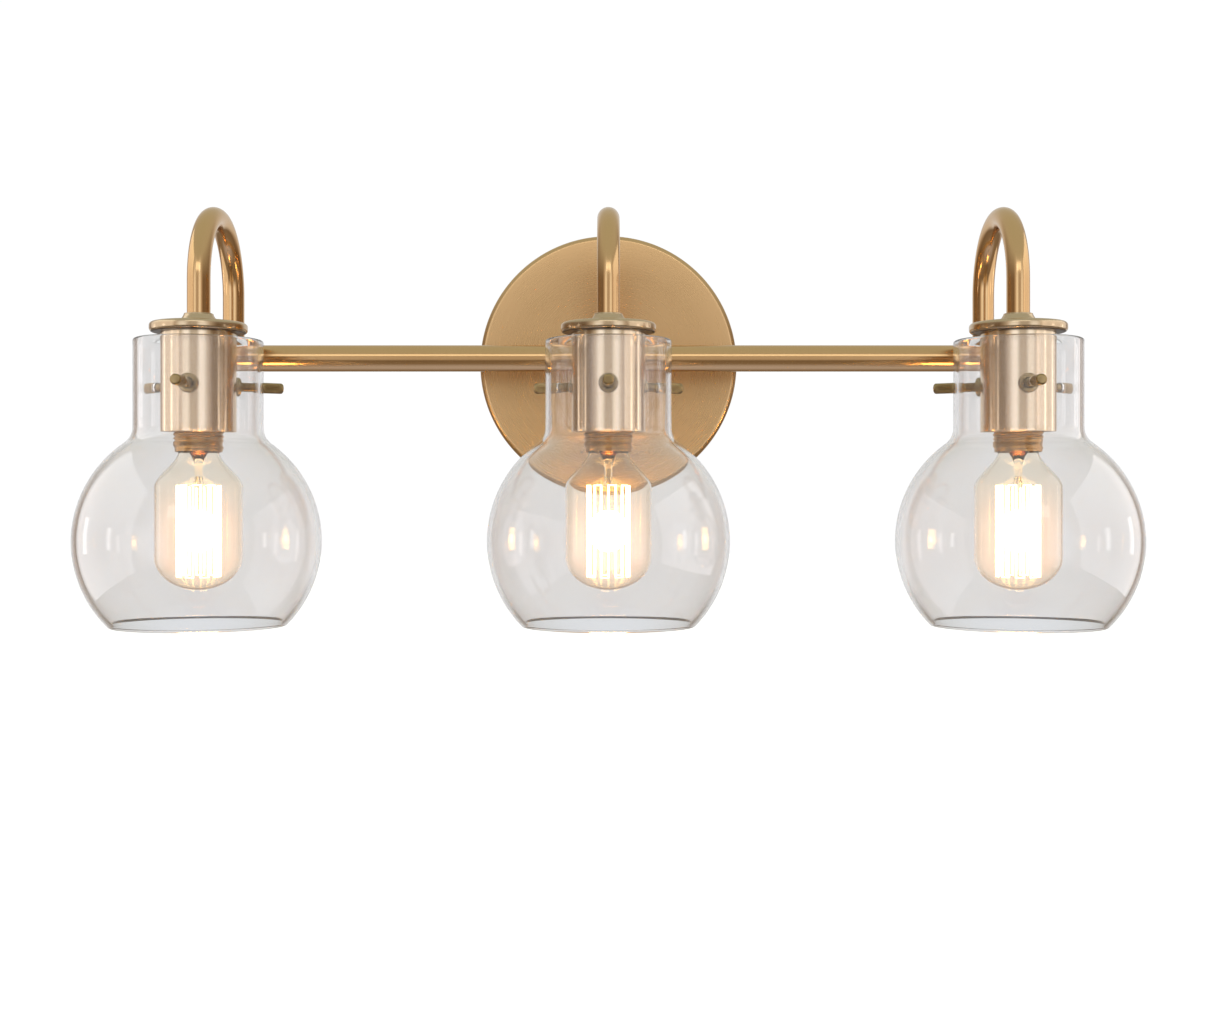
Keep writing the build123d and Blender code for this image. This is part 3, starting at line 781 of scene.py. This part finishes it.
base_crest = 12.9
base_root = 12.1
base_pitch = 3.6
base_turns = 6
base_long = 25.0
rows = 132
sides = 96
bulb_radius = 22.4
bulb_neck = 10.3
bulb_wall = 0.7
bulb_shoulder = 19.0
bulb_dome = 17.0
cage_radius = 11.0
cage_legs = 18
filament_radius = 0.55
lead_radius = 0.22


def envelope(inset, skirt, bottom):
    """One face of the bulb, from its neck to the middle of its dome."""
    wide, neck = bulb_radius - inset, bulb_neck - inset
    points = [(neck, skirt + 5.5), (neck, skirt + 0.5)]
    for step in range(1, 21):
        t = step / 20
        ease = t * t * (3 - 2 * t)
        points.append((neck + (bulb_radius - bulb_neck) * ease, skirt + 0.5 - bulb_shoulder * t))
    high = skirt + 0.5 - bulb_shoulder
    points += [(wide, high - (high - bottom - bulb_dome) * i / 8) for i in range(1, 9)]
    for step in range(1, 25):
        a = step / 24 * pi / 2
        points.append((wide * cos(a), bottom + bulb_dome - (bulb_dome - inset) * sin(a)))
    return points


for lamp in lamps:
    body = "bulb_" + lamp
    glass_low, glass_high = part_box("bulb_glass_" + lamp)
    base_low, base_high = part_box("bulb_base_" + lamp)
    bulb_x, bulb_y = (glass_low.x + glass_high.x) / 2, (glass_low.y + glass_high.y) / 2
    skirt, crown = base_low.z / MM, base_high.z / MM
    bottom = glass_low.z / MM

    shape = bmesh.new()
    rings = []
    thread_low = skirt + (base_long - base_turns * base_pitch) / 2
    for row in range(rows + 1):
        level = skirt + base_long * row / rows
        ring = []
        for side in range(sides):
            angle = 2 * pi * side / sides
            turn = (level - thread_low) / base_pitch - side / sides
            low_end = min(max((level - skirt - 0.8) / 1.5, 0), 1)
            high_end = min(max((skirt + base_long - 0.6 - level) / 1.5, 0), 1)
            swell = (0.5 + 0.5 * cos(2 * pi * turn)) ** 0.8 * (low_end * high_end)
            radius = (base_root + (base_crest - base_root) * swell) * MM
            ring.append(shape.verts.new((radius * cos(angle), radius * sin(angle), level * MM)))
        rings.append(ring)
    for row in range(rows):
        for side in range(sides):
            nxt = (side + 1) % sides
            here, above_it = rings[row], rings[row + 1]
            shape.faces.new((here[side], here[nxt], above_it[nxt], above_it[side]))
    shape.faces.new(rings[-1])
    inner = [shape.verts.new((v.co.x * 0.95, v.co.y * 0.95, v.co.z)) for v in rings[0]]
    deep = [shape.verts.new((v.co.x, v.co.y, v.co.z + 22 * MM)) for v in inner]
    for side in range(sides):
        nxt = (side + 1) % sides
        shape.faces.new((rings[0][nxt], rings[0][side], inner[side], inner[nxt]))
        shape.faces.new((inner[nxt], inner[side], deep[side], deep[nxt]))
    shape.faces.new(deep)
    base = finish_mesh("bulb_screw_base_" + lamp, shape, 60)
    base.location = (bulb_x, bulb_y, 0)
    dress(base, body, "raw_brass", bright_brass, "bulb_base_" + lamp)

    button_low = skirt + base_long + 2.2
    button = [(0, button_low), (4.2, button_low)]
    button += arc(3.7, crown - 0.5, 0.5, 0, 90, 4) + [(0, crown)]
    contact = lathe("bulb_solder_button_" + lamp, button, 48)
    contact.location = (bulb_x, bulb_y, 0)
    dress(contact, body, "raw_brass", zinc_plate)
    coat_node("bulb_insulator_" + lamp, black_vitrite)

    outline = envelope(0, skirt, bottom) + envelope(bulb_wall, skirt, bottom)[::-1]
    glass = lathe("bulb_envelope_" + lamp, outline, 128, sharp=60)
    glass.location = (bulb_x, bulb_y, 0)
    glass.visible_shadow = False
    dress(glass, body, "bulb_glass", bulb_clear, "bulb_glass_" + lamp)

    stem_top = skirt + 4
    stem_end = skirt - 19
    flare = [(0, stem_top), (8.6, stem_top), (8.6, stem_top - 0.8)]
    flare += [(2.0 + 6.6 * (1 - t / 8) ** 2, stem_top - 0.8 - 11 * t / 8) for t in range(1, 9)]
    flare += arc(0.0, stem_end + 2.0, 2.0, 0, -90, 6)
    stem_glass = lathe("bulb_stem_glass_" + lamp, flare, 64)
    stem_glass.location = (bulb_x, bulb_y, 0)
    stem_glass.visible_shadow = False
    dress(stem_glass, body, "bulb_glass", bulb_clear, "bulb_stem_" + lamp)

    cage_top, cage_low = skirt - 17.5, bottom + 7.0
    route = []
    for leg in range(cage_legs):
        angle = 2 * pi * (leg + 0.5) / cage_legs
        place = (cage_radius * cos(angle), cage_radius * sin(angle))
        ends = [(*place, cage_top), (*place, cage_low)]
        ends = ends if leg % 2 == 0 else ends[::-1]
        route += [tuple(Vector(ends[0]).lerp(Vector(ends[1]), i / 6)) for i in range(7)]
    cage = pipe("bulb_filament_cage_" + lamp, route, filament_radius, 10, 80)
    cage.location = (bulb_x, bulb_y, 0)
    dress(cage, body, "filament", glowing_carbon, "bulb_filament_" + lamp)
    for lead in range(6):
        angle = 2 * pi * lead / 6
        spots = ((1.2, stem_end + 6), (3.0, stem_end + 1), (cage_radius, cage_top))
        reach = [(out * cos(angle), out * sin(angle), level) for out, level in spots]
        wire = pipe("bulb_lead_%s_%d" % (lamp, lead + 1), reach, lead_radius, 8, 80)
        wire.location = (bulb_x, bulb_y, 0)
        dress(wire, body, "raw_brass", zinc_plate)

    glow = bpy.data.lights.new("bulb_glow_" + lamp, "POINT")
    glow.energy = 0.09
    glow.color = to_linear("#FFC77E")[:3]
    glow.shadow_soft_size = 0.012
    glow_at = bpy.data.objects.new("bulb_glow_" + lamp, glow)
    glow_at.location = (bulb_x, bulb_y, (cage_top + cage_low) / 2 * MM)
    glow_at.parent = frame["bodies"][body]
    scene.collection.objects.link(glow_at)

# ---------------------------------------------------------------------------------------------------
# Side softboxes: each lights the polished pieces and the shades of the lamps on its own side, which
# gives each arm and cup one pale flank and one brown one.

polished_kinds = ("gooseneck_arm", "arm_cone", "cap_disc", "socket_cup", "cup_boss", "thumbscrew")
for word, side, from_x, away, width, power, lit_lamps in (
    ("left", -1, -0.213, 0.6, 1.0, 2.8, ("left",)),
    ("right", 1, 0.106, 0.8, 1.3, 3.7, ("centre", "right")),
):
    spot = (from_x + side * away, lamp_plane - 0.09 * away, 0.05)
    aim = (from_x, lamp_plane, 0)
    side_box = softbox("side_softbox_" + word, spot, aim, width, 1.0, power, "#FBFCFF")
    polished = bpy.data.collections.new("polished_" + word)
    for piece in scene.objects:
        kind = piece.name.startswith((*polished_kinds, "glass_shade"))
        if kind and any("_" + lamp in piece.name for lamp in lit_lamps):
            polished.objects.link(piece)
    side_box.light_linking.receiver_collection = polished
